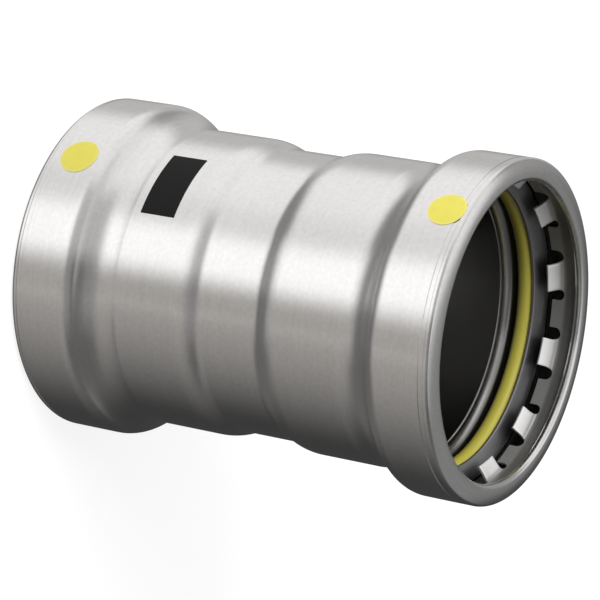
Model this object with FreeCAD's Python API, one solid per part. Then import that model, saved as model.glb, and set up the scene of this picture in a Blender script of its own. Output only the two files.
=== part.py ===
import FreeCAD, Part
import math
import os
from collections import namedtuple
from FreeCAD import Vector

# Straight press-fit coupling for steel pipe, standing on one mouth with its axis along +Z.
# The origin is the centre of the lower mouth. Lengths are in millimetres, angles in degrees.
# Each end is the same: "depth" is the distance in from its own mouth, along the axis.

# Pipe that the coupling takes
pipe_diameter = 73.0
pipe_clearance = 0.4

# Formed steel body
neck_wall = 3.2
neck_length = 17.0
neck_edge_radius = 12.9
waist_step = 1.95
waist_foot_radius = 5.9
waist_length = 14.7
bead_wall = 2.8
shoulder_radius = 5.4
shoulder_lead = 2.5
foot_radius = 11.8
foot_dip = 0.18
dip_edge_radius = 6.0
lip_standoff = 2.8
lip_thickness = 2.5
lip_edge_radius = 1.2
lip_land_width = 0.4
lip_face_radius = 10.0
lip_corner_radius = 1.2
chamber_corner_radius = 2.5
ramp_angle = 62.0
throat_radius = 3.2
throat_groove_width = 0.5
throat_groove_depth = 0.25
bead_groove_depth_in = 2.3
bead_groove_width = 1.15
bead_groove_depth = 0.15

# Seal, a round cord
seal_cord = 5.0
seal_standoff = 0.5
seal_room = 0.4
seal_gap = 0.2

# Separator ring, a dished washer
separator_thickness = 1.0
separator_dish = 22.0
separator_standoff = 0.85
separator_room = 2.1

# Grip ring, a toothed ring of formed strip
grip_strip = 0.7
grip_rim_length = 3.9
seat_gap = 0.3
tooth_pairs = 12
biting_tooth_standoff = 1.2
biting_tooth_length = 2.5
holding_tooth_length = 3.0
slot_width = 3.5
slot_past_fold = 0.5

# Paint and print on the outside, in one line along the body
film_thickness = 0.12
upper_dot_diameter = 10.2
upper_dot_depth = 6.9
lower_dot_diameter = 10.8
lower_dot_depth = 10.1
print_height = 10.2
print_width = 20.2
print_depth = 37.3
upper_dot_turn = -92.3
lower_dot_turn = -90.2
print_turn = -90.0

# Two spots nearer than this are one
same_spot = 1e-6

# Radii that follow from the pipe
pipe_radius = pipe_diameter / 2
bore_radius = pipe_radius + pipe_clearance
neck_radius = bore_radius + neck_wall
dip_radius = neck_radius - foot_dip
waist_radius = neck_radius - waist_step
stop_radius = bore_radius - waist_step
seal_radius = seal_cord / 2
seal_centre_radius = pipe_radius + seal_standoff + seal_radius
chamber_radius = seal_centre_radius + seal_radius + seal_room
bead_radius = chamber_radius + bead_wall
lip_hole_radius = pipe_radius + lip_standoff
lip_crown_radius = lip_hole_radius + lip_edge_radius
lip_land_radius = lip_crown_radius + lip_land_width
lip_corner_centre = bead_radius - lip_corner_radius
ring_outer_radius = chamber_radius - seat_gap
rim_radius = ring_outer_radius - grip_strip
separator_inner_radius = pipe_radius + separator_standoff
separator_edge_radius = separator_thickness / 2
tooth_width = 2 * rim_radius * math.tan(math.radians(90 / tooth_pairs)) - slot_width

# Depths, worked inwards from the mouth: lip, grip ring, separator ring, seal, ramp, throat
rim_depth = lip_thickness + seat_gap
fold_depth = rim_depth + grip_rim_length
tip_depth = fold_depth + biting_tooth_length
holding_tip_depth = fold_depth + holding_tooth_length
dish = math.radians(separator_dish)
separator_front_depth = tip_depth + separator_room
separator_back_depth = separator_front_depth + separator_thickness / math.cos(dish)
seal_rise = (ring_outer_radius - seal_centre_radius) * math.tan(dish)
seal_depth = separator_back_depth + seal_rise + (seal_radius + seal_gap) / math.cos(dish)
ramp = math.radians(ramp_angle)
throat_centre_radius = bore_radius + throat_radius
throat_reach = seal_radius + seal_gap + throat_radius
throat_rise = (throat_centre_radius - seal_centre_radius) * math.cos(ramp)
throat_depth = seal_depth + (throat_reach - throat_rise) / math.sin(ramp)
ramp_foot_depth = throat_depth - throat_radius * math.sin(ramp)
ramp_foot_radius = throat_centre_radius - throat_radius * math.cos(ramp)
chamber_depth = ramp_foot_depth - (chamber_radius - ramp_foot_radius) / math.tan(ramp)
shoulder_depth = chamber_depth - shoulder_lead


Ogee = namedtuple("Ogee", "start first_centre middle second_centre end")


def ogee(depth, radius, drop, first, second):
    """Two arcs that carry a wall smoothly to a smaller radius, or to a larger one if drop is negative.
    Every spot is (depth, radius); first and second are the radii of the arcs."""
    side = math.copysign(1.0, drop)
    turn = math.acos(1 - abs(drop) / (first + second))
    first_centre = (depth, radius - side * first)
    middle = (depth + first * math.sin(turn), first_centre[1] + side * first * math.cos(turn))
    end = (depth + (first + second) * math.sin(turn), radius - drop)
    return Ogee((depth, radius), first_centre, middle, (end[0], end[1] + side * second), end)


bead_curve = ogee(shoulder_depth, bead_radius, bead_radius - dip_radius, shoulder_radius, foot_radius)
dip_curve = ogee(*bead_curve.end, -foot_dip, foot_radius, dip_edge_radius)
neck_end_depth = dip_curve.end[0] + neck_length
waist_curve = ogee(neck_end_depth, neck_radius, waist_step, neck_edge_radius, waist_foot_radius)
stop_edge_radius = neck_edge_radius - neck_wall
stop_foot_radius = waist_foot_radius + neck_wall
stop_curve = ogee(neck_end_depth, bore_radius, waist_step, stop_edge_radius, stop_foot_radius)
waist_depth = waist_curve.end[0]
total_length = 2 * waist_depth + waist_length


class Section:
    """Half of a cross-section, drawn edge by edge as (depth, radius) points beside the axis."""

    def __init__(self, depth, radius):
        self.start = (depth, radius)
        self.here = self.start
        self.edges = []

    def place(self, spot):
        return Vector(spot[1], 0, spot[0])

    def line(self, depth, radius):
        end = (depth, radius)
        if math.dist(self.here, end) > same_spot:
            self.edges.append(Part.makeLine(self.place(self.here), self.place(end)))
        self.here = end

    def arc(self, centre, end):
        """The shorter arc about centre, from here to end."""
        out = [self.here[i] + end[i] - 2 * centre[i] for i in (0, 1)]
        reach = math.dist(self.here, centre) / math.hypot(*out)
        middle = (centre[0] + out[0] * reach, centre[1] + out[1] * reach)
        self.edges.append(Part.Arc(self.place(self.here), self.place(middle), self.place(end)).toShape())
        self.here = end

    def ogee_inwards(self, curve):
        self.line(*curve.start)
        self.arc(curve.first_centre, curve.middle)
        self.arc(curve.second_centre, curve.end)

    def ogee_outwards(self, curve):
        self.line(*curve.end)
        self.arc(curve.second_centre, curve.middle)
        self.arc(curve.first_centre, curve.start)

    def face(self):
        self.line(*self.start)
        return Part.Face(Part.Wire(self.edges))


def revolved(face, turn=360.0):
    return face.revolve(Vector(0, 0, 0), Vector(0, 0, 1), turn)


def draw_outside(section):
    """From the waist out over the neck, the bead, its groove and the lip's face, which falls away
    from a narrow flat land round the mouth."""
    for curve in (waist_curve, dip_curve, bead_curve):
        section.ogee_outwards(curve)
    groove_far = bead_groove_depth_in + bead_groove_width
    section.line(groove_far + bead_groove_depth, bead_radius)
    section.line(groove_far, bead_radius - bead_groove_depth)
    section.line(bead_groove_depth_in, bead_radius - bead_groove_depth)
    section.line(bead_groove_depth_in - bead_groove_depth, bead_radius)
    slope = math.asin((lip_corner_centre - lip_land_radius) / (lip_face_radius - lip_corner_radius))
    corner_depth = lip_face_radius - (lip_face_radius - lip_corner_radius) * math.cos(slope)
    face_depth = lip_face_radius * (1 - math.cos(slope))
    face_radius = lip_land_radius + lip_face_radius * math.sin(slope)
    section.line(corner_depth, bead_radius)
    section.arc((corner_depth, lip_corner_centre), (face_depth, face_radius))
    section.arc((lip_face_radius, lip_land_radius), (0, lip_land_radius))


def draw_inside(section):
    """From the lip's land in through the seal chamber, the throat and the bore to the pipe stop."""
    section.line(0, lip_crown_radius)
    section.arc((lip_edge_radius, lip_crown_radius), (lip_edge_radius, lip_hole_radius))
    back_edge_depth = lip_thickness - lip_edge_radius
    section.line(back_edge_depth, lip_hole_radius)
    section.arc((back_edge_depth, lip_crown_radius), (lip_thickness, lip_crown_radius))
    section.line(lip_thickness, chamber_radius)
    cut = chamber_corner_radius * math.tan(ramp / 2)
    corner_depth = chamber_depth - cut
    section.line(corner_depth, chamber_radius)
    corner_end = (chamber_depth + cut * math.cos(ramp), chamber_radius - cut * math.sin(ramp))
    section.arc((corner_depth, chamber_radius - chamber_corner_radius), corner_end)
    section.line(ramp_foot_depth, ramp_foot_radius)
    section.arc((throat_depth, throat_centre_radius), (throat_depth, bore_radius))
    groove_middle = throat_depth + throat_groove_width / 2
    section.line(groove_middle, bore_radius + throat_groove_depth)
    section.line(throat_depth + throat_groove_width, bore_radius)
    section.ogee_inwards(stop_curve)


def body():
    """The one-piece steel body: both ends are drawn in one closed section and turned about the axis."""
    lower = Section(waist_depth, waist_radius)
    draw_outside(lower)
    draw_inside(lower)
    half_way = Vector(0, 0, total_length / 2)
    upper = [edge.mirror(half_way, Vector(0, 0, 1)) for edge in lower.edges]
    ties = []
    for radius in (waist_radius, stop_radius):
        bottom = Vector(radius, 0, waist_depth)
        top = Vector(radius, 0, total_length - waist_depth)
        ties.append(Part.makeLine(bottom, top))
    loop = Part.__sortEdges__(lower.edges + upper + ties)
    return revolved(Part.Face(Part.Wire(loop)))


def seal():
    cord = Part.Circle(Vector(seal_centre_radius, 0, seal_depth), Vector(0, 1, 0), seal_radius)
    return revolved(Part.Face(Part.Wire(cord.toShape())))


def separator_ring():
    """Dished washer between the teeth and the seal: its hole lies deeper than its rim and is rounded."""
    edge_radius = separator_inner_radius + separator_edge_radius
    rim_middle_depth = (separator_front_depth + separator_back_depth) / 2
    edge_depth = rim_middle_depth + (ring_outer_radius - edge_radius) * math.tan(dish)
    across = (separator_edge_radius * math.cos(dish), separator_edge_radius * math.sin(dish))
    section = Section(separator_front_depth, ring_outer_radius)
    section.line(edge_depth - across[0], edge_radius - across[1])
    section.arc((edge_depth, edge_radius), (edge_depth + across[1], edge_radius - across[0]))
    section.arc((edge_depth, edge_radius), (edge_depth + across[0], edge_radius + across[1]))
    section.line(separator_back_depth, ring_outer_radius)
    return revolved(section.face())


def strip_section(tip):
    """Section of the grip ring's strip through one kind of tooth: rim, fold and tooth.
    The pipe side is the list of bends, and the far side lies one strip thickness outside it."""
    bends = [(rim_depth, rim_radius), (fold_depth, rim_radius), tip]
    normals = []
    for (depth, radius), (next_depth, next_radius) in zip(bends, bends[1:]):
        run = math.hypot(next_depth - depth, next_radius - radius)
        normals.append(((radius - next_radius) / run, (next_depth - depth) / run))
    far_side = []
    for spot, before, after in zip(bends, normals[:1] + normals, normals + normals[-1:]):
        share = grip_strip / (1 + before[0] * after[0] + before[1] * after[1])
        far_side.append((spot[0] + share * (before[0] + after[0]), spot[1] + share * (before[1] + after[1])))
    section = Section(*bends[0])
    for spot in bends[1:] + far_side[::-1]:
        section.line(*spot)
    return section.face()


def slot_cutter(side):
    """Space beside one tooth: a straight flank along the tooth and a rounded root just past the fold."""
    root_depth = fold_depth - slot_past_fold
    root_radius = slot_width / 2
    bow = root_radius * (1 - math.sqrt(0.5))
    near = side * tooth_width / 2
    far = side * rim_radius
    beyond = max(tip_depth, holding_tip_depth) + 2 * grip_strip

    def spot(across, depth):
        return Vector(pipe_radius - grip_strip, across, depth)

    flank_foot = spot(near, root_depth + root_radius)
    root_middle = spot(near + side * bow, root_depth + bow)
    root_end = spot(near + side * root_radius, root_depth)
    corners = [root_end, spot(far, root_depth), spot(far, beyond), spot(near, beyond), flank_foot]
    edges = [Part.makeLine(a, b) for a, b in zip(corners, corners[1:])]
    edges.append(Part.Arc(flank_foot, root_middle, root_end).toShape())
    outline = Part.Face(Part.Wire(edges))
    return outline.extrude(Vector(ring_outer_radius - pipe_radius + 2 * grip_strip, 0, 0))


def tooth_sector(tip):
    """One tooth with its share of the rim, centred on +X."""
    width = 180.0 / tooth_pairs
    blank = revolved(strip_section(tip), width)
    blank.rotate(Vector(0, 0, 0), Vector(0, 0, 1), -width / 2)
    return blank.cut([slot_cutter(side) for side in (-1, 1)])


def grip_ring():
    """Toothed ring: biting teeth bent in towards the pipe alternate with holding teeth left straight."""
    biting = tooth_sector((tip_depth, pipe_radius + biting_tooth_standoff))
    holding = tooth_sector((holding_tip_depth, rim_radius))
    sectors = []
    for number in range(tooth_pairs):
        for shape, turn in ((biting, 0.0), (holding, 180.0 / tooth_pairs)):
            sector = shape.copy()
            sector.rotate(Vector(0, 0, 0), Vector(0, 0, 1), number * 360.0 / tooth_pairs + turn)
            sectors.append(sector)
    return sectors[0].multiFuse(sectors[1:]).removeSplitter()


def at_upper_end(shape):
    """The same piece at the upper mouth, turned over about the X axis."""
    turned = shape.copy()
    turned.rotate(Vector(0, 0, 0), Vector(1, 0, 0), 180)
    turned.translate(Vector(0, 0, total_length))
    return turned


def film(radius):
    """Thin layer all round a wall of this radius."""
    outside = Part.makeCylinder(radius + film_thickness, total_length)
    return outside.cut(Part.makeCylinder(radius, total_length))


def paint_dot(diameter, height, turn):
    """Round dot of paint on a bead."""
    reach = bead_radius + 2 * film_thickness
    punch = Part.makeCylinder(diameter / 2, reach, Vector(0, 0, height), Vector(1, 0, 0))
    punch.rotate(Vector(0, 0, 0), Vector(0, 0, 1), turn)
    return film(bead_radius).common(punch)


def print_field():
    """Plain printed field wrapped round the lower neck, with the body's axis along its height."""
    share = math.degrees(print_width / neck_radius)
    reach = neck_radius + 2 * film_thickness
    low_edge = Vector(0, 0, print_depth - print_height / 2)
    wedge = Part.makeCylinder(reach, print_height, low_edge, Vector(0, 0, 1), share)
    wedge.rotate(Vector(0, 0, 0), Vector(0, 0, 1), print_turn - share / 2)
    return film(neck_radius).common(wedge)


end_pieces = {"grip_ring": grip_ring(), "separator_ring": separator_ring(), "seal": seal()}
pieces = {"body": body()}
for name, shape in end_pieces.items():
    pieces[name + "_lower"] = shape
    pieces[name + "_upper"] = at_upper_end(shape)
pieces["paint_dot_lower"] = paint_dot(lower_dot_diameter, lower_dot_depth, lower_dot_turn)
pieces["paint_dot_upper"] = paint_dot(upper_dot_diameter, total_length - upper_dot_depth, upper_dot_turn)
pieces["print_field"] = print_field()

os.makedirs("parts", exist_ok=True)
for name, shape in pieces.items():
    solid, = shape.Solids
    solid.exportStep("parts/" + name + ".step")
    print(name, round(solid.Volume, 1), "mm3", "valid" if solid.isValid() else "NOT VALID")
print("bead diameter", round(2 * bead_radius, 2), "length", round(total_length, 2))
print("each bore: depth", round(throat_depth + throat_groove_width, 2), "to", round(neck_end_depth, 2))
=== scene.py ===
import math
from typing import NamedTuple

import bmesh
import bpy
from bpy.props import FloatProperty, FloatVectorProperty, PointerProperty
from mathutils import Color, Matrix, Vector


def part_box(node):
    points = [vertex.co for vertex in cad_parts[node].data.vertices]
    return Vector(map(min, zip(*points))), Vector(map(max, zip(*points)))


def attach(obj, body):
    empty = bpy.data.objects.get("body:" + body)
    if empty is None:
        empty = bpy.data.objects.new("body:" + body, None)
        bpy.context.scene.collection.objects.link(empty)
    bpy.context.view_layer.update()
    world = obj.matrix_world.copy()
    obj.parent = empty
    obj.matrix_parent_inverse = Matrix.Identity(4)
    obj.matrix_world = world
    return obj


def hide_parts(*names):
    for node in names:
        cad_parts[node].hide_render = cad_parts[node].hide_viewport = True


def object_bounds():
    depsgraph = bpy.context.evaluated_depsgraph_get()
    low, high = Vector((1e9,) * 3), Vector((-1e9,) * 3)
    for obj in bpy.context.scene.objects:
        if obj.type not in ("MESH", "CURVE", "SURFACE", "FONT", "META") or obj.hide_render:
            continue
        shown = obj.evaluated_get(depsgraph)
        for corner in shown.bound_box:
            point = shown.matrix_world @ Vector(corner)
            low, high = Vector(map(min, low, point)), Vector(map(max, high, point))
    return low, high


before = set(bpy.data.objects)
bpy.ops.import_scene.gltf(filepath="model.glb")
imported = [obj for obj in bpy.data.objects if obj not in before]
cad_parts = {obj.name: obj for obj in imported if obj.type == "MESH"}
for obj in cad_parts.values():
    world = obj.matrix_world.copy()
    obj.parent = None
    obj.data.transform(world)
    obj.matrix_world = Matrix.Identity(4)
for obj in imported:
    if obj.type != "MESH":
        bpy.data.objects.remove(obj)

bl_info = {
    "name": "Press-fit pipe coupling",
    "version": (1, 0, 0),
    "blender": (4, 5, 0),
    "location": "3D View > Sidebar > Coupling",
    "description": "Makes a steel press-fit coupling with its rings, seals and ink, and a studio round it",
    "category": "Add Mesh",
}

MM = 0.001
CAD_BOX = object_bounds()
TOTAL_LENGTH = CAD_BOX[1].z - CAD_BOX[0].z
BODY_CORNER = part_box("body")[1]

# Angles of the separator ring's dish and of the chamber's ramp, from the plane of the mouth and from the axis
DISH = math.radians(22.0)
RAMP = math.radians(62.0)

# Degrees between the points of an arc: plain, on the large smooth steps, and on the separator ring's edge
ARC_STEP = 5.0
FINE_ARC_STEP = 2.5
EDGE_ARC_STEP = 15.0

# Steps of a full turn about the axis, and points round the seal's cord
TURN_STEPS = 240
CORD_POINTS = 40

# Points nearer than this, in metres, are one: within an outline, and where two parts of a mesh meet
SAME_POINT = 1e-7
SAME_SEAM_POINT = 1e-6


def mm(name, size, words):
    """A length that the panel shows, given here in millimetres."""
    return FloatProperty(name=name, description=words, default=size * MM, unit="LENGTH", precision=5)


def colour(name, rgb, words):
    return FloatVectorProperty(name=name, description=words, default=rgb, subtype="COLOR", min=0.0, max=1.0)


def share(name, value, words, high=1.0):
    return FloatProperty(name=name, description=words, default=value, min=0.0, max=high, subtype="FACTOR")


class BodySizes(bpy.types.PropertyGroup):
    """The formed steel body. Depths are measured in from either mouth."""
    bore: mm("Bore radius", 36.9, "Radius of the wall that guides the pipe")
    neck: mm("Neck radius", 40.1, "Outside radius between bead and waist")
    neck_length: mm("Neck length", 17.0, "Straight length of the neck")
    bead: mm("Bead radius", BODY_CORNER.x / MM, "Outside radius of the bead round the seal")
    bead_shoulder: mm("Bead shoulder radius", 5.4, "Rounding where the bead's side begins to fall")
    bead_foot: mm("Bead foot radius", 11.8, "Hollow rounding at the bead's foot, on both sides of the dip")
    shoulder_lead: mm("Shoulder lead", 2.5, "How far nearer the mouth the bead's side ends than its chamber")
    dip: mm("Dip", 0.18, "How far the shallow dip at the bead's foot lies under the neck")
    dip_end: mm("Dip end radius", 6.0, "Rounding from the dip up to the neck")
    waist_step: mm("Waist step", 1.95, "How far the waist is drawn in, inside and outside")
    waist_shoulder: mm("Waist shoulder radius", 12.9, "Rounding where the neck begins to fall to the waist")
    waist_foot: mm("Waist foot radius", 5.9, "Hollow rounding at the waist")
    stop_shoulder: mm("Pipe stop shoulder radius", 9.7, "Hollow rounding where the bore begins to close in")
    stop_foot: mm("Pipe stop edge radius", 9.1, "Rounding into the passage inside the pipe stop")
    lip_hole: mm("Lip hole radius", 39.3, "Radius of the hole in the rolled lip")
    lip: mm("Lip thickness", 2.5, "Thickness of the rolled lip at its hole")
    lip_edge: mm("Lip edge radius", 1.2, "Rounding round the lip's hole, on both sides")
    lip_land: mm("Lip land width", 0.4, "Flat land round the hole, before the face falls away")
    lip_face: mm("Lip face radius", 10.0, "Radius of the curve in which the face falls away")
    lip_corner: mm("Lip corner radius", 1.2, "Rounding from the face to the bead's side")
    groove: mm("Bead groove depth", 2.3, "Depth from the mouth to the shallow groove in the bead")
    groove_width: mm("Bead groove width", 1.15, "Width of the groove's floor")
    groove_drop: mm("Bead groove drop", 0.15, "How far the groove's floor lies under the bead's side")
    chamber: mm("Chamber radius", 42.4, "Inside radius of the bead")
    chamber_corner: mm("Chamber corner radius", 2.5, "Rounding from the chamber's wall to its ramp")
    throat_edge: mm("Throat rounding", 3.2, "Rounding from the ramp to the bore")
    throat_groove: mm("Throat groove depth", 0.25, "Depth and half the width of the groove behind the throat")


class RingSizes(bpy.types.PropertyGroup):
    """The rings in the chamber of each end."""
    outer: mm("Ring radius", 42.1, "Outside radius of the rings in the chamber")
    seat: mm("Seat gap", 0.3, "Gap between the grip ring and the lip")
    strip: mm("Strip thickness", 0.7, "Thickness of the grip ring's steel")
    strip_edge: mm("Strip edge", 0.07, "Width of the rounding on the strip's edges")
    rim: mm("Rim length", 3.9, "Straight length of the grip ring's rim, up to the fold")
    slot_root: mm("Slot root", 0.5, "How far the slots between the teeth reach past the fold into the rim")
    bite: mm("Biting tooth length", 2.5, "Depth of a biting tooth beyond the fold")
    bite_tip: mm("Biting tip radius", 37.7, "Radius that a biting tooth reaches in to")
    hold: mm("Holding tooth length", 3.0, "Depth of a holding tooth beyond the fold")
    tooth: mm("Tooth width", 7.4, "Width of one tooth")
    washer: mm("Separator thickness", 1.0, "Thickness of the dished washer")
    washer_room: mm("Separator room", 2.1, "Gap between the biting tips and the washer's rim")
    washer_hole: mm("Separator hole radius", 37.35, "Radius of the hole in the dished washer")
    seal: mm("Seal cord radius", 2.5, "Radius of the round rubber cord")
    seal_middle: mm("Seal middle radius", 39.5, "Radius of the circle that the cord follows")
    seal_gap: mm("Seal gap", 0.2, "Gap between the cord and the steel on either side of it")


class Finishes(bpy.types.PropertyGroup):
    """Colours and textures."""
    steel: colour("Plated steel", (0.75, 0.745, 0.74), "Body")
    # the bore colour is painted shade, laid on the steel beyond the throat where little light reaches
    bore: colour("Bore", (0.34, 0.34, 0.33), "Body beyond the throat, where the plating thins out")
    spring: colour("Spring steel", (0.95, 0.945, 0.94), "Grip rings")
    washer: colour("Separator steel", (0.36, 0.36, 0.37), "Separator rings")
    rubber: colour("Seal rubber", (0.37, 0.335, 0.05), "Seals")
    dot: colour("Dot ink", (0.52, 0.47, 0.065), "Dots on the beads")
    dot_edge: colour("Dot edge", (0.54, 0.50, 0.17), "Rim of the dots, where the ink is thin")
    ink: colour("Field ink", (0.007, 0.007, 0.007), "Printed field")
    brushing: share("Brushing", 0.20, "Height of the brush lines")


class Studio(bpy.types.PropertyGroup):
    """Light and camera."""
    key: FloatProperty(
        name="Key light", description="Power of the soft key light", default=9.0, min=0.0, unit="POWER"
    )
    world: share("Surroundings", 1.0, "Strength of the light from all round", 4.0)
    lens: FloatProperty(
        name="Lens", description="Focal length on the camera's 36 mm sensor", default=191.443, min=10.0,
        unit="CAMERA",
    )


# Shader maths


class Signal:
    """One value in a node tree. Python's operators on it add the nodes that work it out."""

    def __init__(self, tree, socket):
        self.tree = tree
        self.socket = socket

    def node(self, kind, settings=None, inputs=None, output=0):
        return add_node(self.tree, kind, settings, inputs, output)

    def maths(self, operation, *values):
        return self.node("ShaderNodeMath", {"operation": operation}, dict(enumerate(values)))

    def __add__(self, other):
        return self.maths("ADD", self, other)

    def __radd__(self, other):
        return self.maths("ADD", other, self)

    def __sub__(self, other):
        return self.maths("SUBTRACT", self, other)

    def __rsub__(self, other):
        return self.maths("SUBTRACT", other, self)

    def __mul__(self, other):
        return self.maths("MULTIPLY", self, other)

    def __rmul__(self, other):
        return self.maths("MULTIPLY", other, self)

    def __truediv__(self, other):
        return self.maths("DIVIDE", self, other)

    def __pow__(self, other):
        return self.maths("POWER", self, other)

    def __abs__(self):
        return self.maths("ABSOLUTE", self)

    def __gt__(self, other):
        return self.maths("GREATER_THAN", self, other)

    def larger(self, other):
        return self.maths("MAXIMUM", self, other)

    def smaller(self, other):
        return self.maths("MINIMUM", self, other)

    def degrees_over(self, along):
        """Angle in degrees of the slope that rises by this value over the other."""
        return self.maths("ARCTAN2", self, along) * math.degrees(1.0)

    def rise(self, low, high):
        """0 below low, 1 above high and a smooth step between."""
        settings = {"interpolation_type": "SMOOTHSTEP"}
        return self.node("ShaderNodeMapRange", settings, {"Value": self, "From Min": low, "From Max": high})

    def fall(self, low, high):
        """1 below low, 0 above high and a smooth step between."""
        return 1 - self.rise(low, high)

    def mix(self, first, second):
        """first where this value is 0, second where it is 1. Both are colours."""
        settings = {"data_type": "RGBA"}
        return self.node("ShaderNodeMix", settings, {0: self, 6: first, 7: second}, 2)

    def shade(self, tint):
        """The tint made as bright as this value says, where 1 leaves it as it is."""
        return self.node("ShaderNodeVectorMath", {"operation": "SCALE"}, {0: tint, "Scale": self})

    def with_light(self, other):
        """This colour with another added."""
        return self.node("ShaderNodeVectorMath", {"operation": "ADD"}, {0: self, 1: other})


def add_node(tree, kind, settings=None, inputs=None, output=0):
    """Adds a node, with its settings first and then the values or links of its sockets."""
    node = tree.nodes.new(kind)
    for name, value in (settings or {}).items():
        setattr(node, name, value)
    for name, value in (inputs or {}).items():
        socket = node.inputs[name]
        if isinstance(value, Signal):
            tree.links.new(value.socket, socket)
        elif isinstance(value, (tuple, Color)):
            alpha = (1.0,) * (len(socket.default_value) - len(value))
            socket.default_value = (*value, *alpha)
        else:
            socket.default_value = value
    return Signal(tree, node.outputs[output]) if len(node.outputs) else None


def new_material(name):
    """A material with an empty tree: (material, tree, place on the object in metres)."""
    material = bpy.data.materials.new(name)
    material.use_nodes = True
    tree = material.node_tree
    tree.nodes.clear()
    return material, tree, add_node(tree, "ShaderNodeTexCoord", output="Object")


def finish_material(tree, bump, **inputs):
    """Principled surface with the given sockets and a bump of (height, distance, strength)."""
    sockets = {name.replace("_", " "): value for name, value in inputs.items()}
    height, distance, strength = bump
    sockets["Normal"] = add_node(
        tree, "ShaderNodeBump", None, {"Height": height, "Distance": distance, "Strength": strength}
    )
    shader = add_node(tree, "ShaderNodeBsdfPrincipled", None, sockets)
    add_node(tree, "ShaderNodeOutputMaterial", None, {"Surface": shader})


def split(place):
    """(x, y, z, distance from the axis) of a place."""
    x, y, z = (place.node("ShaderNodeSeparateXYZ", None, {0: place}, axis) for axis in "XYZ")
    return x, y, z, (x * x + y * y) ** 0.5


def depth_from_mouth(z):
    """Depth of a height from the nearer mouth."""
    half = TOTAL_LENGTH / 2
    return half - abs(z - half)


def noise(place, scale, detail=3.0, roughness=0.5):
    inputs = {"Vector": place, "Scale": scale, "Detail": detail, "Roughness": roughness}
    return place.node("ShaderNodeTexNoise", None, inputs)


# How much of a step round the axis, and of one across the wall, a brushed grain takes in
GRAIN_ROUND = 0.02
GRAIN_ACROSS = 0.7


def round_the_axis(place):
    """A place for noise whose grain runs in fine lines round the axis: it changes quickly along the axis and
    across the wall, and only slowly round it."""
    x, y, z, out = split(place)
    spot = {"X": x * GRAIN_ROUND, "Y": y * GRAIN_ROUND, "Z": z + out * GRAIN_ACROSS}
    return place.node("ShaderNodeCombineXYZ", None, spot)


# Turning


class SmoothStep(NamedTuple):
    """Two arcs that carry a wall from one radius to another. Each point is a (depth, radius)."""
    start: tuple
    first_centre: tuple
    middle: tuple
    second_centre: tuple
    end: tuple


def smooth_step(depth, radius, drop, first, second):
    """The step that starts at a depth and radius, with arcs of two radii. It rises if drop is negative."""
    side = math.copysign(1.0, drop)
    turn = math.acos(1 - abs(drop) / (first + second))
    first_centre = (depth, radius - side * first)
    middle = (depth + first * math.sin(turn), first_centre[1] + side * first * math.cos(turn))
    end = (depth + (first + second) * math.sin(turn), radius - drop)
    return SmoothStep((depth, radius), first_centre, middle, (end[0], end[1] + side * second), end)


class Outline:
    """A line drawn point by point in the plane through the axis, as (depth, radius), and then turned."""

    def __init__(self, depth, radius):
        self.mesh = bmesh.new()
        self.here = (depth, radius)
        self.last = self.mesh.verts.new(self.place(self.here))

    @staticmethod
    def place(spot):
        return Vector((spot[1], 0.0, spot[0]))

    def line(self, depth, radius):
        if math.dist(self.here, (depth, radius)) < SAME_POINT:
            return
        made = bmesh.ops.extrude_vert_indiv(self.mesh, verts=[self.last])
        self.last = made["verts"][0]
        self.last.co = self.place((depth, radius))
        self.here = (depth, radius)

    def arc(self, centre, end, step=ARC_STEP):
        """The shorter arc about centre, from here to end, in steps of about so many degrees."""
        start_way = math.atan2(self.here[1] - centre[1], self.here[0] - centre[0])
        end_way = math.atan2(end[1] - centre[1], end[0] - centre[0])
        turn = (end_way - start_way + math.pi) % (2 * math.pi) - math.pi
        steps = max(2, math.ceil(abs(math.degrees(turn)) / step))
        # the plane's depth and radius are Z and X, so a turn from depth to radius goes about +Y
        made = bmesh.ops.spin(
            self.mesh, geom=[self.last], cent=self.place(centre), axis=(0, 1, 0), angle=turn, steps=steps
        )
        self.last = next(v for v in made["geom_last"] if isinstance(v, bmesh.types.BMVert))
        self.here = end

    def follow(self, curve, outwards=False):
        """Along a smooth step, from its start to its end, or the other way if outwards."""
        start, first_centre, middle, second_centre, end = curve[::-1] if outwards else curve
        self.line(*start)
        self.arc(first_centre, middle, FINE_ARC_STEP)
        self.arc(second_centre, end, FINE_ARC_STEP)

    def turned(self):
        """The mesh of the outline turned about the axis."""
        bmesh.ops.remove_doubles(self.mesh, verts=self.mesh.verts, dist=SAME_POINT)
        turn_round(self.mesh)
        return self.mesh


def turn_round(mesh):
    """Turns the line or loop in a mesh into a closed ring about the axis."""
    bmesh.ops.spin(
        mesh,
        geom=mesh.verts[:] + mesh.edges[:],
        cent=(0, 0, 0),
        axis=(0, 0, 1),
        angle=2 * math.pi,
        steps=TURN_STEPS,
        use_merge=True,
    )


def mirror_ends(mesh):
    """Adds the upper end to a lower end, mirrored about the middle."""
    half = Vector((0, 0, TOTAL_LENGTH / 2))
    bmesh.ops.translate(mesh, vec=-half, verts=mesh.verts)
    everything = mesh.verts[:] + mesh.edges[:] + mesh.faces[:]
    bmesh.ops.mirror(mesh, geom=everything, merge_dist=SAME_SEAM_POINT, axis="Z")
    bmesh.ops.translate(mesh, vec=half, verts=mesh.verts)


def with_upper(lower):
    """(end, mesh) of a ring for both ends, the upper one turned over."""
    turn_over = Matrix.Translation((0, 0, TOTAL_LENGTH)) @ Matrix.Rotation(math.pi, 4, "X")
    upper = lower.copy()
    bmesh.ops.transform(upper, matrix=turn_over, verts=upper.verts)
    return ("lower", lower), ("upper", upper)


def add_object(name, data):
    thing = bpy.data.objects.new(name, data)
    bpy.context.scene.collection.objects.link(thing)
    return thing


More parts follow.
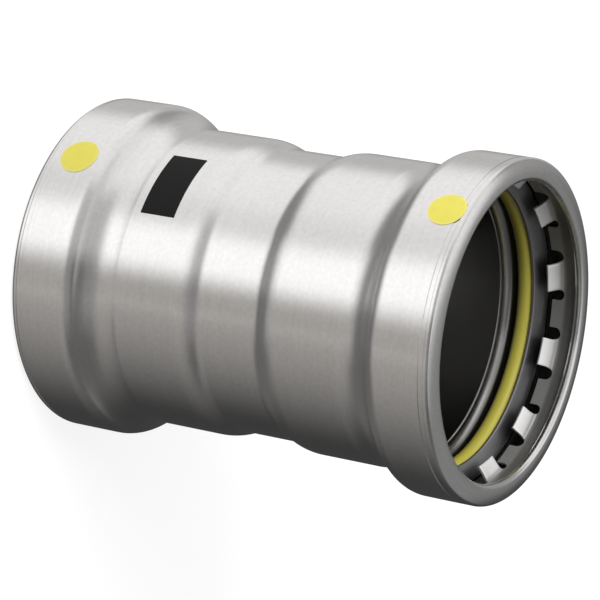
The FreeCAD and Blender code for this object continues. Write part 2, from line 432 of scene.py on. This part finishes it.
def into_object(mesh, name, material, node, sharp=None):
    """Ends a piece: normals out, shading, material, and what it stands for in the frame. Edges that turn by
    more than sharp, in degrees, are shaded as corners."""
    bmesh.ops.recalc_face_normals(mesh, faces=mesh.faces)
    data = bpy.data.meshes.new(name)
    mesh.to_mesh(data)
    mesh.free()
    data.materials.append(material)
    data.polygons.foreach_set("use_smooth", [True] * len(data.polygons))
    if sharp:
        data.set_sharp_from_angle(angle=math.radians(sharp))
    piece = add_object(name, data)
    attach(piece, "root")
    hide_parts(node)


class CouplingOperator:
    """What the operators that make steel and rubber pieces share."""

    bl_options = {"REGISTER", "UNDO"}

    @staticmethod
    def sizes(context):
        scene = context.scene
        return scene.coupling_body, scene.coupling_rings, scene.coupling_finishes


class EndDepths(NamedTuple):
    """Depths of one end from its mouth: grip ring's fold, washer's front, middle of the cord, throat."""
    fold: float
    washer: float
    seal: float
    throat: float


def end_depths(body, rings):
    """Works the depths inwards, each piece seated on the one before."""
    fold = body.lip + rings.seat + rings.rim
    washer = fold + rings.bite + rings.washer_room
    lean = (rings.outer - rings.seal_middle) * math.tan(DISH)
    seal = washer + lean + (rings.washer + rings.seal + rings.seal_gap) / math.cos(DISH)
    rise = (body.bore + body.throat_edge - rings.seal_middle) * math.cos(RAMP)
    throat = seal + (rings.seal + rings.seal_gap + body.throat_edge - rise) / math.sin(RAMP)
    return EndDepths(fold, washer, seal, throat)


# Body

# Where painted shade and painted light change on the steel inside the body, as (start, end) of a smooth
# change:
# depths from the lip's back, depths from the throat, and radii from the bore's
BEHIND_LIP = (0.1 * MM, 0.5 * MM)
LIT_RAMP = (-5.7 * MM, -4.2 * MM)
LIT_THROAT = (-2.7 * MM, -1.3 * MM)
CHAMBER_END = (0.3 * MM, 0.5 * MM)
BORE_START = (0.15 * MM, 0.4 * MM)
BORE_WALL = (0.15 * MM, 0.45 * MM)

# The line within the wall that parts inside from outside: a little out from the chamber's side, and from a
# point before the throat on it leans in with the ramp
WALL_LINE_OUT = 0.25 * MM
WALL_LINE_TURN = 3.2 * MM
WALL_LINE_LEAN = 0.6

# Share of the steel's brightness that the painted shade in the chamber takes, and the painted light that the
# ramp and the throat get back
CHAMBER_SHADE = 0.90
RAMP_LIGHT = 0.15
THROAT_LIGHT = 0.48


def painted_shade_inside(body, throat, depth, out):
    """Share of the steel's brightness that is kept under painted shade: all outside, little in the chamber,
    more where painted light goes up the ramp.
    """
    beyond = depth - throat
    wall_line = body.chamber + WALL_LINE_OUT - WALL_LINE_LEAN * (beyond + WALL_LINE_TURN).larger(0.0)
    # painted shade is laid inside the wall line, from behind the lip up to the chamber's end
    chamber_shade_mask = (wall_line > out) * (depth - body.lip).rise(*BEHIND_LIP) * beyond.fall(*CHAMBER_END)
    return 1 - chamber_shade_mask * (
        CHAMBER_SHADE - RAMP_LIGHT * beyond.rise(*LIT_RAMP) - THROAT_LIGHT * beyond.rise(*LIT_THROAT)
    )


def plated_steel(finishes, body, throat):
    """Satin plated steel, brushed round the axis, with painted shade in the chamber and in the bore, and
    painted light on the ramp and the throat.
    """
    material, tree, place = new_material("plated_steel")
    z, out = split(place)[2:]
    lines = round_the_axis(place)
    fine = noise(lines, 2600.0, 2.0, 0.6)
    coarse = noise(lines, 420.0, 3.0, 0.55)
    cloud = noise(place, 34.0, 4.0, 0.55)
    speck = noise(place, 900.0, 2.0, 0.5)
    depth = depth_from_mouth(z)
    # painted shade: the bore wall beyond the throat takes the darker bore colour
    painted_bore_shade = (out - body.bore).fall(*BORE_WALL) * (depth - throat).rise(*BORE_START)
    grain = 0.80 + 0.05 * coarse + 0.10 * cloud + 0.12 * fine + 0.16 * speck
    # the grain is the steel's own; the other factor is painted shade and painted light inside the body
    tone = grain * painted_shade_inside(body, throat, depth, out)
    finish_material(
        tree,
        bump=(fine * 0.6 + coarse * 0.3 + speck * 0.5, 0.02 * MM, finishes.brushing),
        Base_Color=painted_bore_shade.mix(tone.shade(finishes.steel), finishes.bore),
        Metallic=1.0,
        Roughness=0.20 + 0.05 * cloud + 0.03 * coarse,
        Anisotropic=0.65,
        Anisotropic_Rotation=0.25,
    )
    return material


def draw_outside(outline, body, steps):
    """From the waist out over neck and bead to the groove near the mouth."""
    for step in steps:
        outline.follow(step, outwards=True)
    floor = body.bead - body.groove_drop
    outline.line(body.groove + body.groove_width + body.groove_drop, body.bead)
    outline.line(body.groove + body.groove_width, floor)
    outline.line(body.groove, floor)
    outline.line(body.groove - body.groove_drop, body.bead)


def draw_lip(outline, body):
    """Round the outer corner, down the face that falls away, over the land and through the hole."""
    crown = body.lip_hole + body.lip_edge
    land = crown + body.lip_land
    corner = body.bead - body.lip_corner
    slope = math.asin((corner - land) / (body.lip_face - body.lip_corner))
    corner_depth = body.lip_face - (body.lip_face - body.lip_corner) * math.cos(slope)
    face_end = (body.lip_face * (1 - math.cos(slope)), land + body.lip_face * math.sin(slope))
    outline.line(corner_depth, body.bead)
    outline.arc((corner_depth, corner), face_end)
    outline.arc((body.lip_face, land), (0, land), FINE_ARC_STEP)
    outline.line(0, crown)
    outline.arc((body.lip_edge, crown), (body.lip_edge, body.lip_hole))
    outline.line(body.lip - body.lip_edge, body.lip_hole)
    outline.arc((body.lip - body.lip_edge, crown), (body.lip, crown))


def draw_chamber(outline, body, throat, ramp_start, ramp_foot):
    """From the lip's back along the chamber, down its ramp and round the throat, past the small groove."""
    outline.line(body.lip, body.chamber)
    cut = body.chamber_corner * math.tan(RAMP / 2)
    outline.line(ramp_start - cut, body.chamber)
    outline.arc(
        (ramp_start - cut, body.chamber - body.chamber_corner),
        (ramp_start + cut * math.cos(RAMP), body.chamber - cut * math.sin(RAMP)),
    )
    outline.line(*ramp_foot)
    outline.arc((throat, body.bore + body.throat_edge), (throat, body.bore))
    outline.line(throat + body.throat_groove, body.bore + body.throat_groove)
    outline.line(throat + 2 * body.throat_groove, body.bore)


class COUPLING_OT_body(CouplingOperator, bpy.types.Operator):
    """Turn the formed steel body, both ends in one piece"""

    bl_idname = "coupling.body"
    bl_label = "Body"

    def execute(self, context):
        body, rings, finishes = self.sizes(context)
        throat = end_depths(body, rings).throat
        foot_depth = throat - body.throat_edge * math.sin(RAMP)
        foot_radius = body.bore + body.throat_edge * (1 - math.cos(RAMP))
        ramp_start = foot_depth - (body.chamber - foot_radius) / math.tan(RAMP)
        bead_start = ramp_start - body.shoulder_lead
        bead_drop = body.bead - body.neck + body.dip
        bead_step = smooth_step(bead_start, body.bead, bead_drop, body.bead_shoulder, body.bead_foot)
        dip_step = smooth_step(*bead_step.end, -body.dip, body.bead_foot, body.dip_end)
        neck_end = dip_step.end[0] + body.neck_length
        waist_step = smooth_step(neck_end, body.neck, body.waist_step, body.waist_shoulder, body.waist_foot)
        stop_step = smooth_step(neck_end, body.bore, body.waist_step, body.stop_shoulder, body.stop_foot)
        outline = Outline(TOTAL_LENGTH / 2, body.neck - body.waist_step)
        draw_outside(outline, body, (waist_step, dip_step, bead_step))
        draw_lip(outline, body)
        draw_chamber(outline, body, throat, ramp_start, (foot_depth, foot_radius))
        outline.follow(stop_step)
        outline.line(TOTAL_LENGTH / 2, body.bore - body.waist_step)
        mesh = outline.turned()
        mirror_ends(mesh)
        into_object(mesh, "body_shell", plated_steel(finishes, body, throat), "body", 30.0)
        return {"FINISHED"}


# Rings


def seal_rubber(finishes):
    """Smooth greased rubber."""
    material, tree, place = new_material("seal_rubber")
    tone = 0.92 + 0.16 * noise(place, 120.0, 3.0)
    finish_material(
        tree,
        bump=(noise(place, 700.0, 2.0), 0.02 * MM, 0.15),
        Base_Color=tone.shade(finishes.rubber),
        Roughness=0.28 + 0.1 * noise(place, 90.0),
        Coat_Weight=0.5,
        Coat_Roughness=0.12,
    )
    return material


def separator_steel(finishes):
    """Dull sheet with faint lines round the axis."""
    material, tree, place = new_material("separator_steel")
    lines = noise(round_the_axis(place), 1500.0, 2.0)
    tone = 0.85 + 0.25 * lines
    finish_material(
        tree,
        bump=(lines, 0.03 * MM, 0.15),
        Base_Color=tone.shade(finishes.washer),
        Metallic=1.0,
        Roughness=0.36 + 0.1 * lines,
    )
    return material


# Where painted shade on the strip's rim gives way to painted light on the teeth, and more on the bent teeth,
# as (start, end)
# of a smooth change: depth from the fold, and radius from the rim's inside
RIM_SHADE_TO_TOOTH_LIGHT = (-1.5 * MM, -0.1 * MM)
BENT_TOOTH_LIGHT = (-1.1 * MM, -0.2 * MM)


def spring_steel(finishes, fold, rim_inside):
    """Stamped strip with faint marks of the punch, with painted shade on the rim under the lip and painted
    light on the teeth, most on the bent ones.
    """
    material, tree, place = new_material("spring_steel")
    marks = noise(place, 380.0, 3.0, 0.6)
    z, out = split(place)[2:]
    teeth = (depth_from_mouth(z) - fold).rise(*RIM_SHADE_TO_TOOTH_LIGHT)
    bent = (out - rim_inside).fall(*BENT_TOOTH_LIGHT)
    # the marks are the strip's own; the other factor is painted shade on the rim and painted light on the
    # teeth, strongest where bent in
    tone = (0.88 + 0.16 * marks) * (0.28 + 0.27 * teeth + 0.45 * bent)
    finish_material(
        tree,
        bump=(marks, 0.03 * MM, 0.12),
        Base_Color=tone.shade(finishes.spring),
        Metallic=0.75,
        Roughness=0.32 + 0.12 * marks,
    )
    return material


class COUPLING_OT_seals(CouplingOperator, bpy.types.Operator):
    """Lay a round rubber seal in each chamber"""

    bl_idname = "coupling.seals"
    bl_label = "Seals"

    def execute(self, context):
        body, rings, finishes = self.sizes(context)
        material = seal_rubber(finishes)
        depth = end_depths(body, rings).seal
        upright = Matrix.Rotation(math.pi / 2, 4, "X")
        for end, height in (("lower", depth), ("upper", TOTAL_LENGTH - depth)):
            mesh = bmesh.new()
            place = Matrix.Translation((rings.seal_middle, 0, height)) @ upright
            bmesh.ops.create_circle(mesh, segments=CORD_POINTS, radius=rings.seal, matrix=place)
            turn_round(mesh)
            into_object(mesh, "seal_cord_" + end, material, "seal_" + end)
        return {"FINISHED"}


class COUPLING_OT_separators(CouplingOperator, bpy.types.Operator):
    """Turn a dished separator ring for each chamber"""

    bl_idname = "coupling.separators"
    bl_label = "Separator rings"

    def execute(self, context):
        body, rings, finishes = self.sizes(context)
        material = separator_steel(finishes)
        front = end_depths(body, rings).washer
        back = front + rings.washer / math.cos(DISH)
        edge = rings.washer / 2
        edge_radius = rings.washer_hole + edge
        edge_depth = (front + back) / 2 + (rings.outer - edge_radius) * math.tan(DISH)
        centre = (edge_depth, edge_radius)
        across, along = edge * math.cos(DISH), edge * math.sin(DISH)
        outline = Outline(front, rings.outer)
        outline.line(edge_depth - across, edge_radius - along)
        outline.arc(centre, (edge_depth + along, edge_radius - across), EDGE_ARC_STEP)
        outline.arc(centre, (edge_depth + across, edge_radius + along), EDGE_ARC_STEP)
        outline.line(back, rings.outer)
        outline.line(front, rings.outer)
        for end, ring in with_upper(outline.turned()):
            into_object(ring, "separator_" + end, material, "separator_ring_" + end, 50.0)
        return {"FINISHED"}


class COUPLING_OT_grip_rings(CouplingOperator, bpy.types.Operator):
    """Bend the toothed grip rings from strip: teeth bent in to bite, between teeth left straight"""

    bl_idname = "coupling.grip_rings"
    bl_label = "Grip rings"

    # pairs of a biting and a holding tooth, and columns of faces across each tooth
    pairs = 12
    columns = 10
    # an edge that turns by more than this, in degrees, is a corner of the strip and is rounded
    corner = 50.0

    def execute(self, context):
        body, rings, finishes = self.sizes(context)
        inner = rings.outer - rings.strip
        rim = body.lip + rings.seat
        fold = end_depths(body, rings).fold
        root = fold - rings.slot_root
        half_sector = math.pi / (2 * self.pairs)
        slot = inner * math.tan(half_sector) - rings.tooth / 2
        slant = math.atan2(inner - rings.bite_tip, rings.bite)
        bend = (fold - root) / math.tan(slant / 2)

        def bitten(depth):
            """Radius of a biting tooth's pipe side: straight, then bent, then slanted in to the tip."""
            if depth <= root:
                return inner
            if depth < root + bend * math.sin(slant):
                return inner - bend + math.sqrt(bend**2 - (depth - root) ** 2)
            return inner - (depth - fold) * math.tan(slant)

        def half_width(depth, radius):
            """Half the width at a depth: the whole sector on the rim, then less beside the rounded slot."""
            whole = radius * math.sin(half_sector)
            if depth <= root:
                return whole
            short = max(slot - (depth - root), 0.0)
            return min(whole, rings.tooth / 2 + slot - math.sqrt(slot**2 - short**2))

        # the rows of points stand close together beside the edges of the rim and the tips, and in the bend
        rim_rows = [rim + (root - rim) * part for part in (0.0, 0.02, 0.5, 0.98, 1.0)]
        root_rows = [root + slot * (1 - math.cos(math.radians(turn))) for turn in range(10, 91, 10)]
        bend_rows = [root + bend * math.sin(slant * part) for part in (0.2, 0.4, 0.6, 0.8, 1.0)]
        mesh = bmesh.new()
        for number in range(2 * self.pairs):
            biting = number % 2 == 0
            tip = fold + (rings.bite if biting else rings.hold)
            past = [root + slot + (tip - root - slot) * part for part in (0.3, 0.6, 0.97, 1.0)]
            rows = rim_rows + sorted(root_rows + (bend_rows if biting else [])) + past
            made = bmesh.ops.create_grid(mesh, x_segments=self.columns, y_segments=len(rows) - 1, size=1.0)
            turn = Matrix.Rotation(2 * half_sector * number, 3, "Z")
            for vert in made["verts"]:
                depth = rows[round((vert.co.y + 1) / 2 * (len(rows) - 1))]
                radius = bitten(depth) if biting else inner
                across = vert.co.x * half_width(depth, radius)
                vert.co = turn @ Vector((math.sqrt(radius**2 - across**2), across, depth))
        bmesh.ops.remove_doubles(mesh, verts=mesh.verts, dist=SAME_SEAM_POINT)
        bmesh.ops.recalc_face_normals(mesh, faces=mesh.faces)
        # these faces are the pipe's side: they look at the axis, and the strip's thickness grows away from it
        if sum(face.normal.dot(Vector((*face.calc_center_median().xy, 0.0))) for face in mesh.faces) > 0:
            bmesh.ops.reverse_faces(mesh, faces=mesh.faces)
        bmesh.ops.solidify(mesh, geom=mesh.faces[:], thickness=rings.strip)
        corners = [edge for edge in mesh.edges if edge.calc_face_angle(0.0) > math.radians(self.corner)]
        bmesh.ops.bevel(
            mesh, geom=corners, offset=rings.strip_edge, offset_type="OFFSET", segments=2, profile=0.5,
            affect="EDGES", clamp_overlap=True, material=-1,
        )
        material = spring_steel(finishes, fold, inner)
        for end, ring in with_upper(mesh):
            into_object(ring, "grip_" + end, material, "grip_ring_" + end, 50.0)
        return {"FINISHED"}


# Ink


def reach_from(place, node):
    """How far a place lies from the middle of a round film, where 1 is the film's own radius."""
    low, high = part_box(node)
    middle = (low + high) / 2
    x, _, z, _ = split(place)
    across, along = x - middle.x, z - middle.z
    return (across * across + along * along) ** 0.5 / ((high.z - low.z) / 2)


def dot_ink(finishes):
    """Yellow marking ink: a slightly uneven film that thins out round the edge of each dot."""
    material, tree, place = new_material("dot_ink")
    reach = reach_from(place, "paint_dot_lower").smaller(reach_from(place, "paint_dot_upper"))
    tone = 0.94 + 0.12 * noise(place, 260.0, 3.0)
    finish_material(
        tree,
        bump=(noise(place, 1200.0, 2.0), 0.02 * MM, 0.2),
        Base_Color=reach.rise(0.84, 1.04).mix(tone.shade(finishes.dot), finishes.dot_edge),
        Roughness=0.38 + 0.1 * tone,
    )
    return material


def field_ink(finishes):
    """Black print with a fine screen grain."""
    material, tree, place = new_material("field_ink")
    grain = noise(place, 1500.0, 2.0)
    tone = 0.7 + 0.7 * grain
    finish_material(
        tree,
        bump=(grain, 0.02 * MM, 0.2),
        Base_Color=tone.shade(finishes.ink),
        Roughness=0.5 + 0.12 * grain,
        Specular_IOR_Level=0.12,
    )
    return material


class COUPLING_OT_ink(bpy.types.Operator):
    """Ink the two dots and the printed field"""

    bl_idname = "coupling.ink"
    bl_label = "Dots and printed field"
    bl_options = {"REGISTER", "UNDO"}

    def execute(self, context):
        finishes = context.scene.coupling_finishes
        dots = dot_ink(finishes)
        inks = {"paint_dot_lower": dots, "paint_dot_upper": dots, "print_field": field_ink(finishes)}
        for node, material in inks.items():
            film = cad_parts[node]
            film.data.materials.clear()
            film.data.materials.append(material)
        return {"FINISHED"}


# Stage

# The camera's own right, up and back, its place and its sensor's width in millimetres
CAMERA_RIGHT = Vector((-0.41891, 0.29392, 0.85914))
CAMERA_UP = Vector((-0.7584, -0.63356, -0.15304))
CAMERA_BACK = Vector((0.49934, -0.71569, 0.48832))
CAMERA_PLACE = Vector((423.354, -604.806, 475.52)) * MM
CAMERA_SENSOR = 36.0
CAMERA_AZIMUTH = math.atan2(CAMERA_PLACE.y, CAMERA_PLACE.x)

KEY_PLACE = CAMERA_UP * 0.5 + CAMERA_BACK * 0.45 + Vector((0, 0, 0.55))
KEY_WIDTH = 0.6
FLOOR_HALF_WIDTH = 6.0

WHITE = (1.0, 1.0, 1.0)
SOFT_WHITE = (1.0, 0.99, 0.98)
COOL_WHITE = (0.985, 0.99, 1.0)
WARM_WHITE = (1.0, 0.98, 0.96)
ROSY_WHITE = (1.0, 0.97, 0.95)
AMBER_WHITE = (1.0, 0.955, 0.905)
AMBIENT = (0.05, 0.05, 0.05)

# Levels in the surroundings: elevation as (low, high) in degrees, and the softness of both ends
GROUND = ((-95, -45), (2, 7))
BELOW = ((-57, -45), (6, 7))
FACING = ((-45, 2), (7, 7))
ABOVE = ((2, 38), (7, 6))
HIGH = ((38, 60), (6, 6))
ABOVE_AND_HIGH = ((2, 60), (7, 6))
BACK_WALL = ((20, 60), (6, 6))
CEILING = ((60, 95), (6, 2))


class SoftBox(NamedTuple):
    """Soft light in the surroundings, as the steel mirrors it. Its sides are azimuths from the camera's own,
    as (left, right) in degrees with the softness of each, and its level is one of those above."""
    sides: tuple
    softness: tuple
    level: tuple
    strength: float
    colour: tuple


SOFT_BOXES = (
    # key box just beside the camera
    SoftBox((-35, 2), (9, 11), FACING, 0.44, COOL_WHITE),
    # wall of light on the bright side, stronger in its far half
    SoftBox((-122, 2), (10, 11), FACING, 0.88, SOFT_WHITE),
    SoftBox((-115, -62), (8, 12), FACING, 0.14, SOFT_WHITE),
    # the wall's far end
    SoftBox((-166, -122), (14, 10), FACING, 0.52, WARM_WHITE),
    # light that falls off round the dark side
    SoftBox((2, 71), (11, 62), FACING, 0.41, AMBER_WHITE),
    # thin strip beside the key
    SoftBox((25, 31), (3, 4), FACING, 0.09, ROSY_WHITE),
    # below the key, and on into the dark side
    SoftBox((-50, 0), (12, 10), BELOW, 0.72, SOFT_WHITE),
    SoftBox((0, 45), (10, 20), BELOW, 0.33, WARM_WHITE),
    # above the wall, in two steps
    SoftBox((-115, -50), (10, 12), ABOVE, 0.95, SOFT_WHITE),
    SoftBox((-115, -50), (10, 12), HIGH, 0.66, SOFT_WHITE),
    # above the key
    SoftBox((-50, 0), (12, 10), ABOVE_AND_HIGH, 0.50, SOFT_WHITE),
    # above the far end, in two steps
    SoftBox((-170, -115), (12, 10), ABOVE, 0.30, SOFT_WHITE),
    SoftBox((-170, -115), (12, 10), HIGH, 0.97, SOFT_WHITE),
    # above the dark side, in two steps
    SoftBox((0, 45), (10, 20), ABOVE, 0.20, WARM_WHITE),
    SoftBox((20, 110), (20, 20), ABOVE_AND_HIGH, 0.08, WARM_WHITE),
    # behind the coupling
    SoftBox((110, 190), (20, 12), BACK_WALL, 0.20, WHITE),
    # ceiling, brighter on the wall's side
    SoftBox((-180, 40), (25, 25), CEILING, 0.90, WHITE),
    SoftBox((40, 180), (25, 25), CEILING, 0.42, WHITE),
    # ground, dimmer on the dark side
    SoftBox((-180, 5), (0.05, 10), GROUND, 0.20, WARM_WHITE),
    SoftBox((5, 179.9), (10, 0.05), GROUND, 0.10, WARM_WHITE),
)


def soft_light(azimuth, elevation, box):
    """Light of one soft box in a direction of the surroundings."""
    (left, right), (soft_left, soft_right) = box.sides, box.softness
    (low, high), (soft_low, soft_high) = box.level
    middle, half = (left + right) / 2, (right - left) / 2
    away = azimuth.maths("WRAP", azimuth - middle, 180.0, -180.0)
    across = away.rise(-half - soft_left, soft_left - half) * away.fall(half - soft_right, half + soft_right)
    up = elevation.rise(low - soft_low, low + soft_low) * elevation.fall(high - soft_high, high + soft_high)
    return (across * up * box.strength).shade(box.colour)


def seen_by_camera(place):
    """1 where the camera looks, also through something clear, and 0 for what lights and mirrors."""
    direct = place.node("ShaderNodeLightPath", output="Is Camera Ray")
    through = place.node("ShaderNodeLightPath", output="Is Transmission Ray")
    return direct.larger(through)


def surroundings(world, studio):
    """Soft boxes on a dark ground, seen by the steel; the camera sees plain white."""
    world.use_nodes = True
    tree = world.node_tree
    tree.nodes.clear()
    way = add_node(tree, "ShaderNodeTexCoord", output="Generated")
    x, y, z, out = split(way)
    cos, sin = math.cos(CAMERA_AZIMUTH), math.sin(CAMERA_AZIMUTH)
    azimuth = (y * cos - x * sin).degrees_over(x * cos + y * sin)
    elevation = z.degrees_over(out)
    light = way.node("ShaderNodeCombineXYZ", None, dict(zip("XYZ", AMBIENT)))
    for box in SOFT_BOXES:
        light = light.with_light(soft_light(azimuth, elevation, box))
    shown = seen_by_camera(way).mix(light, WHITE)
    background = add_node(tree, "ShaderNodeBackground", None, {"Color": shown, "Strength": studio.world})
    add_node(tree, "ShaderNodeOutputWorld", None, {"Surface": background})


def pale_floor():
    """Plain pale floor that the camera sees as white, with the coupling's shadow."""
    material, tree, place = new_material("pale_floor")
    seen = seen_by_camera(place)
    # to the camera the floor mostly glows, so that it is white and its shadow stays light
    pale, under_glow, glow = (0.8, 0.8, 0.8), (0.25, 0.25, 0.25), 0.84
    lit = place.node("ShaderNodeBsdfDiffuse", None, {"Color": seen.mix(pale, under_glow)})
    glowing = place.node("ShaderNodeEmission", None, {"Color": WHITE, "Strength": seen * glow})
    both = place.node("ShaderNodeAddShader", None, {0: lit, 1: glowing})
    add_node(tree, "ShaderNodeOutputMaterial", None, {"Surface": both})
    return material


def add_floor():
    mesh = bmesh.new()
    bmesh.ops.create_grid(mesh, x_segments=1, y_segments=1, size=FLOOR_HALF_WIDTH)
    data = bpy.data.meshes.new("floor")
    mesh.to_mesh(data)
    mesh.free()
    data.materials.append(pale_floor())
    floor = add_object("floor", data)
    floor.visible_glossy = False


def add_key_light(power):
    """A soft disk of light, higher than the camera and beside it, that shines on the coupling's middle."""
    lamp = bpy.data.lights.new("key", "AREA")
    lamp.shape = "DISK"
    lamp.size = KEY_WIDTH
    lamp.energy = power
    key = add_object("key", lamp)
    key.location = KEY_PLACE
    key.rotation_mode = "QUATERNION"
    key.rotation_quaternion = (KEY_PLACE - Vector((0, 0, TOTAL_LENGTH / 2))).to_track_quat("Z", "Y")
    key.visible_glossy = False


def add_camera(lens):
    camera = add_object("camera", bpy.data.cameras.new("camera"))
    camera.data.lens = lens
    camera.data.sensor_width = CAMERA_SENSOR
    camera.data.clip_start = 10 * MM
    turned = Matrix((CAMERA_RIGHT, CAMERA_UP, CAMERA_BACK)).transposed().to_4x4()
    camera.matrix_world = Matrix.Translation(CAMERA_PLACE) @ turned
    bpy.context.scene.camera = camera


class COUPLING_OT_stage(bpy.types.Operator):
    """Set the floor, the light and the camera"""

    bl_idname = "coupling.stage"
    bl_label = "Stage"
    bl_options = {"REGISTER", "UNDO"}

    def execute(self, context):
        scene = context.scene
        studio = scene.coupling_studio
        scene.view_settings.view_transform = "Standard"
        scene.world = scene.world or bpy.data.worlds.new("studio")
        surroundings(scene.world, studio)
        add_floor()
        add_key_light(studio.key)
        add_camera(studio.lens)
        return {"FINISHED"}


class COUPLING_PT_panel(bpy.types.Panel):
    """Sizes, finishes and the operators that make each piece"""

    bl_idname = "COUPLING_PT_panel"
    bl_label = "Press-fit coupling"
    bl_space_type = "VIEW_3D"
    bl_region_type = "UI"
    bl_category = "Coupling"

    def draw(self, context):
        for name in GROUPS:
            box = self.layout.box()
            box.label(text=name.replace("coupling_", "").capitalize())
            group = getattr(context.scene, name)
            for value in group.bl_rna.properties:
                if value.identifier not in ("rna_type", "name"):
                    box.prop(group, value.identifier)
        for step in STEPS:
            self.layout.operator(step.bl_idname)


GROUPS = {
    "coupling_body": BodySizes,
    "coupling_rings": RingSizes,
    "coupling_finishes": Finishes,
    "coupling_studio": Studio,
}
STEPS = (
    COUPLING_OT_body,
    COUPLING_OT_seals,
    COUPLING_OT_separators,
    COUPLING_OT_grip_rings,
    COUPLING_OT_ink,
    COUPLING_OT_stage,
)
CLASSES = (*GROUPS.values(), *STEPS, COUPLING_PT_panel)


def register():
    for one in CLASSES:
        bpy.utils.register_class(one)
    for name, group in GROUPS.items():
        setattr(bpy.types.Scene, name, PointerProperty(type=group))


def unregister():
    for name in GROUPS:
        delattr(bpy.types.Scene, name)
    for one in reversed(CLASSES):
        bpy.utils.unregister_class(one)


def main():
    register()
    for step in STEPS:
        area, action = step.bl_idname.split(".")
        getattr(getattr(bpy.ops, area), action)()


if __name__ == "__main__":
    main()
